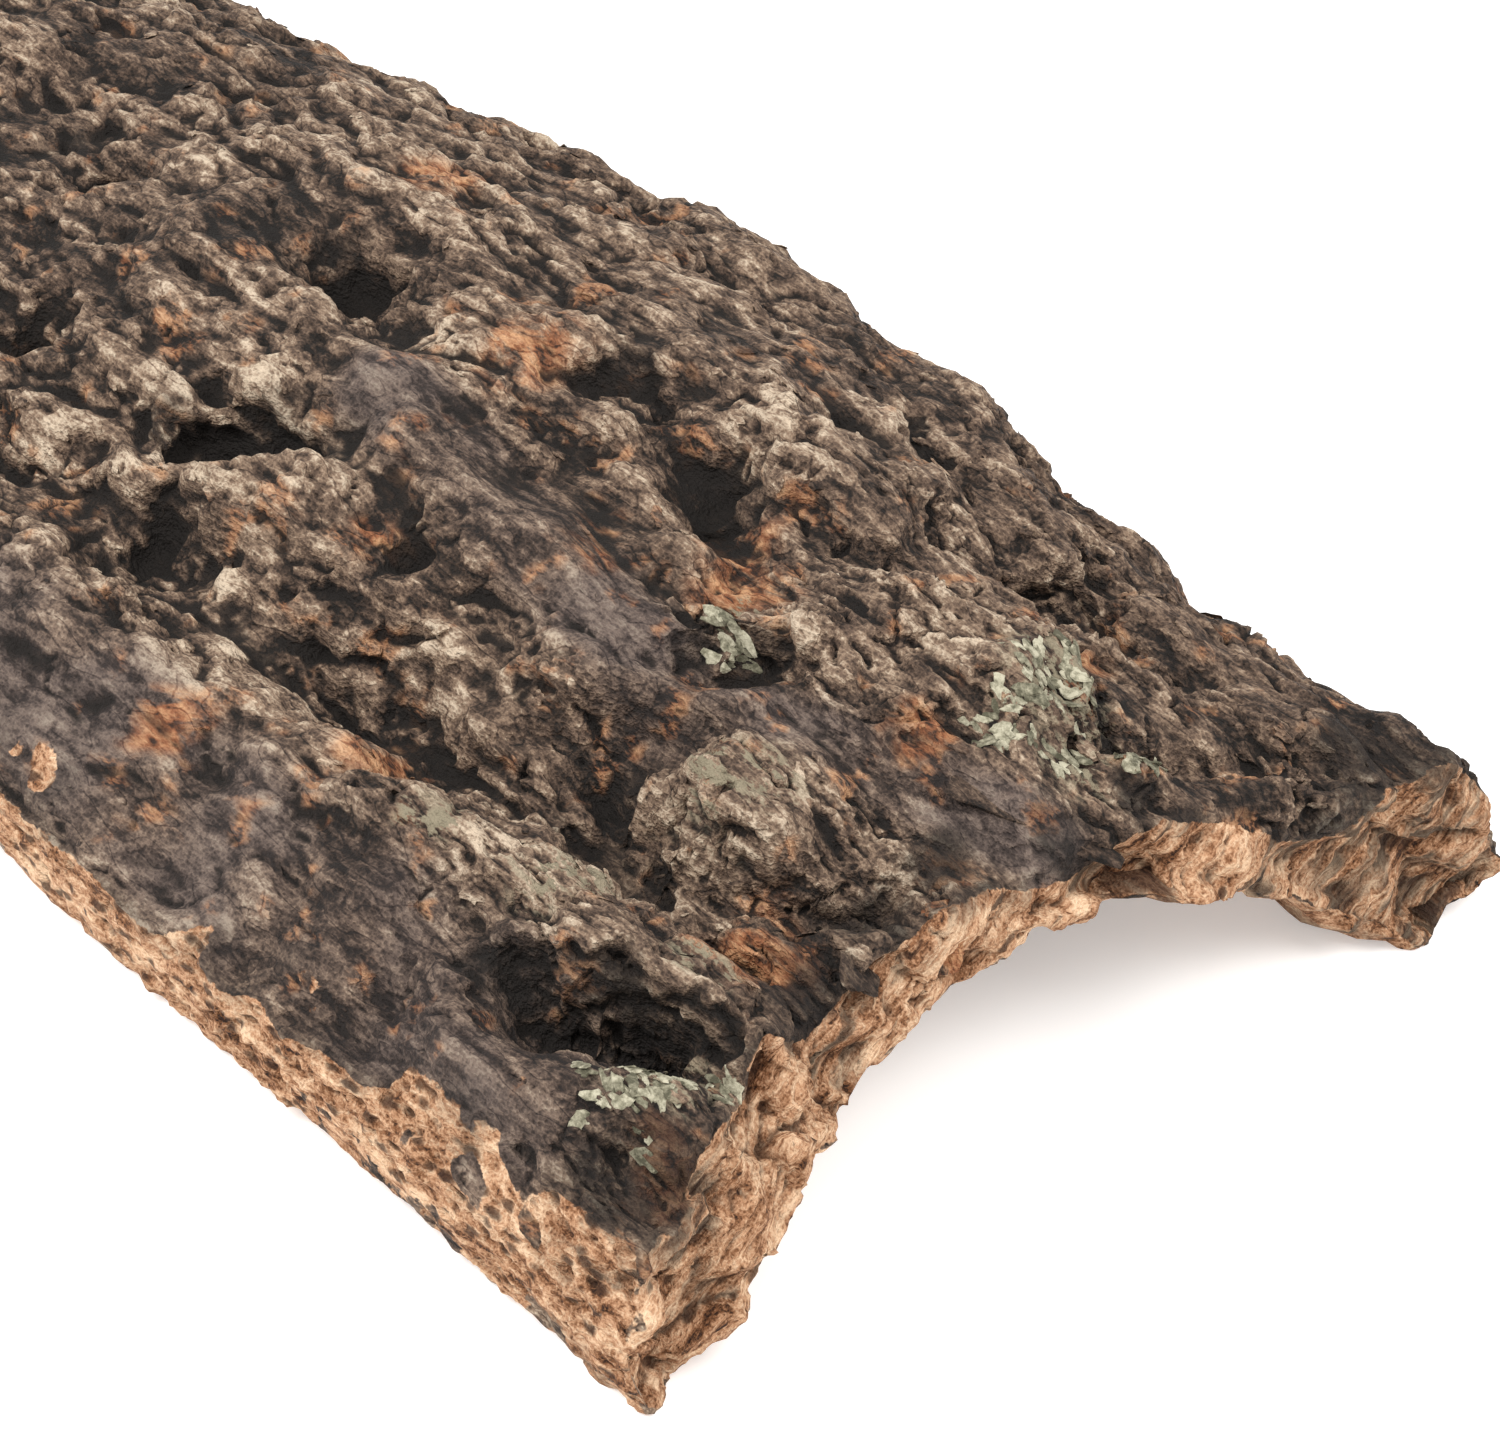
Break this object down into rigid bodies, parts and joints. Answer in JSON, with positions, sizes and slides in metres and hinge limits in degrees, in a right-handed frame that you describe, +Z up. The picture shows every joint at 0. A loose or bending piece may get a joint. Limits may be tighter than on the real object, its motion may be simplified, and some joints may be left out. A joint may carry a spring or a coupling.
{
  "type": "cork bark slab",
  "caption": "Arched slab of virgin cork oak bark with deep furrows, lichen, one torn end and one sawn flank.",
  "frame": {"origin": "middle of the slab's bounding box in plan, on the surface that the slab lies on", "axes": "+X along the slab towards its torn end, +Y across it towards the rolled flank, +Z up out of the bark"},
  "size_m": [0.521, 0.241, 0.0743],
  "materials": {
    "bark": "rough",
    "lichen": "matt lichen, soft like felt"
  },
  "bodies": {
    "root": {"cork_slab": "bark", "lichen_crest": "lichen", "lichen_ledge": "lichen", "lichen_fork": "lichen", "lichen_lobe": "lichen"}
  },
  "joints": []
}
